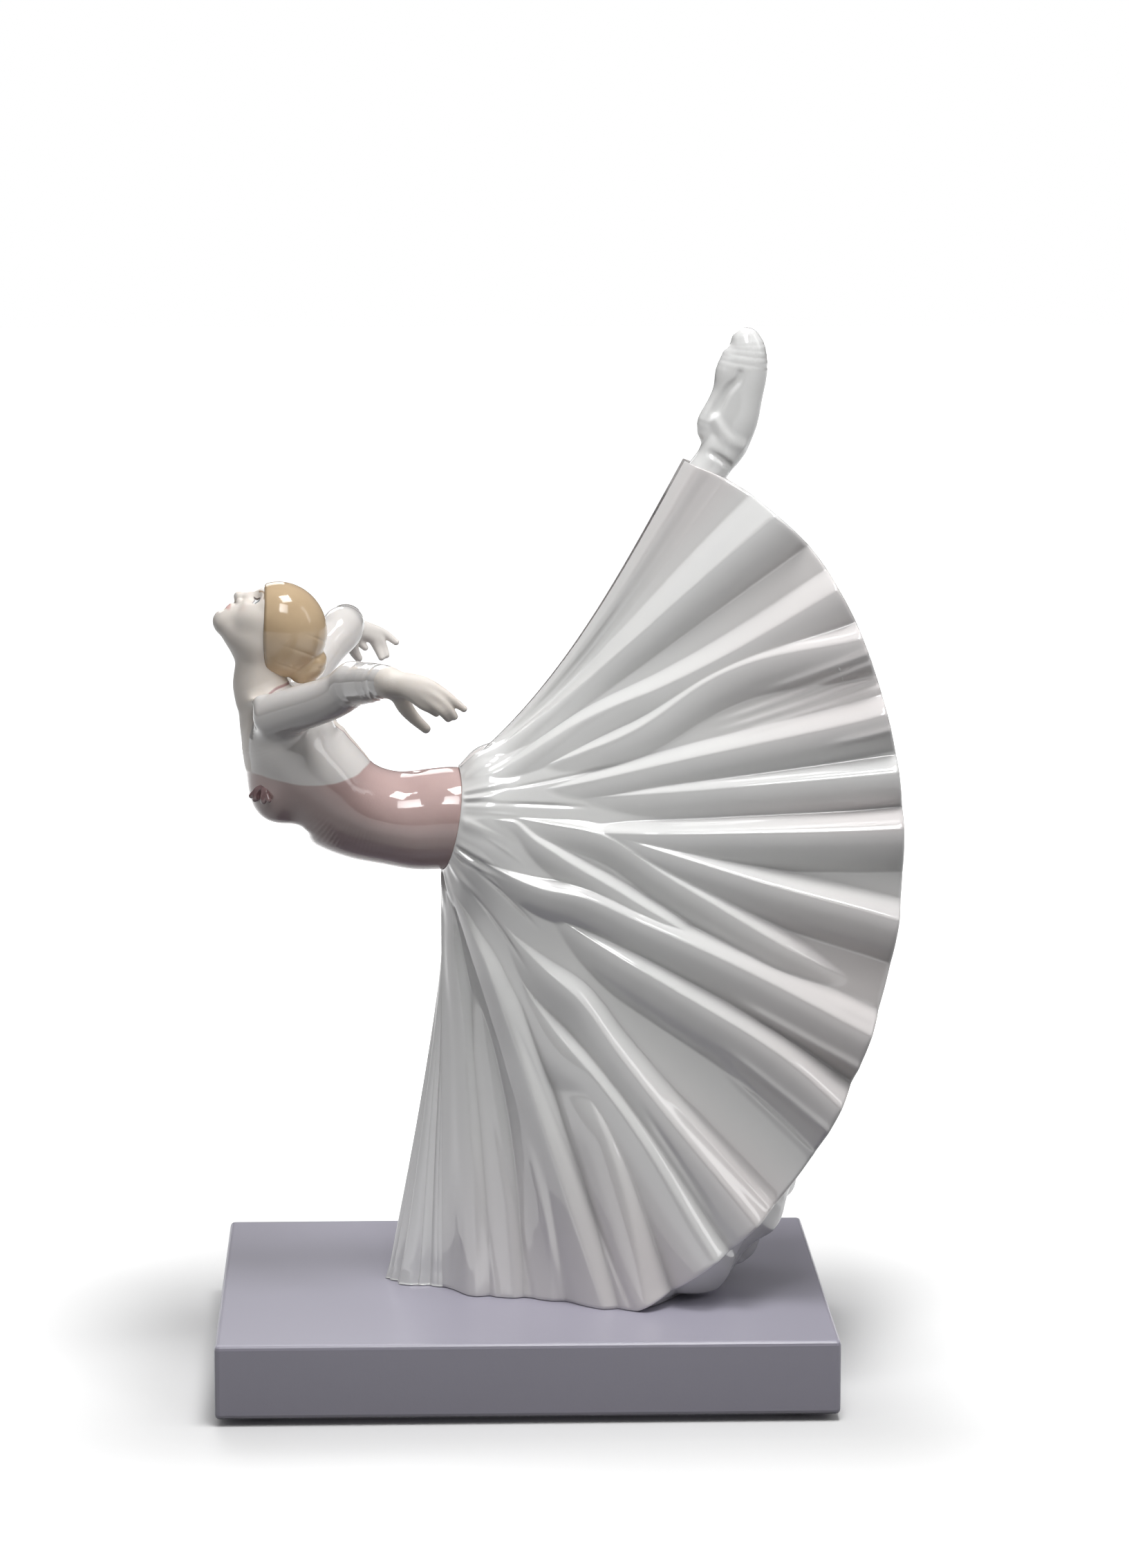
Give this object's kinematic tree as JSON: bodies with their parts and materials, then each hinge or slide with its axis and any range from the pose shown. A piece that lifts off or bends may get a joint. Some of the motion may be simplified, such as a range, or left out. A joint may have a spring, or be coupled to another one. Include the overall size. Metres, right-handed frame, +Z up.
{
  "type": "porcelain figurine",
  "caption": "Glazed porcelain dancer leaning back with one leg raised and a wide fan-shaped skirt, fixed on a flat lacquered plinth, a free-standing ornament.",
  "frame": {"origin": "centre of the whole figurine's box, on the surface that it stands on", "axes": "+X along the plinth, from the head's side to the skirt's hem; +Y across the plinth, away from the skirt's near face; +Z up"},
  "size_m": [0.2602, 0.19, 0.3952],
  "materials": {
    "white_glaze": "gloss",
    "mauve_glaze": "gloss",
    "bisque_skin": "satin",
    "tan_glaze": "gloss",
    "lilac_lacquer": "satin",
    "dark_rubber": "matte",
    "steel": "satin",
    "nylon": "matte"
  },
  "bodies": {
    "root": {"plinth": "lilac_lacquer", "foot_pad_1": "dark_rubber", "foot_pad_2": "dark_rubber", "foot_pad_3": "dark_rubber", "foot_pad_4": "dark_rubber", "fixing_screw_1": "steel", "fixing_screw_2": "steel", "screw_washer_1": "steel", "screw_washer_2": "steel", "anchor_plug_1": "nylon", "anchor_plug_2": "nylon", "skirt_near_panel": "white_glaze", "skirt_far_panel": "white_glaze", "skirt_front_pleats": "white_glaze", "petticoat": "white_glaze", "skirt_base": "white_glaze", "torso": "mauve_glaze", "corsage": "mauve_glaze", "head": "bisque_skin", "hair": "tan_glaze", "hair_bun": "tan_glaze", "left_arm": "white_glaze", "left_hand": "bisque_skin", "right_arm": "white_glaze", "right_hand": "bisque_skin", "raised_leg": "white_glaze", "raised_shoe": "white_glaze"}
  },
  "joints": []
}
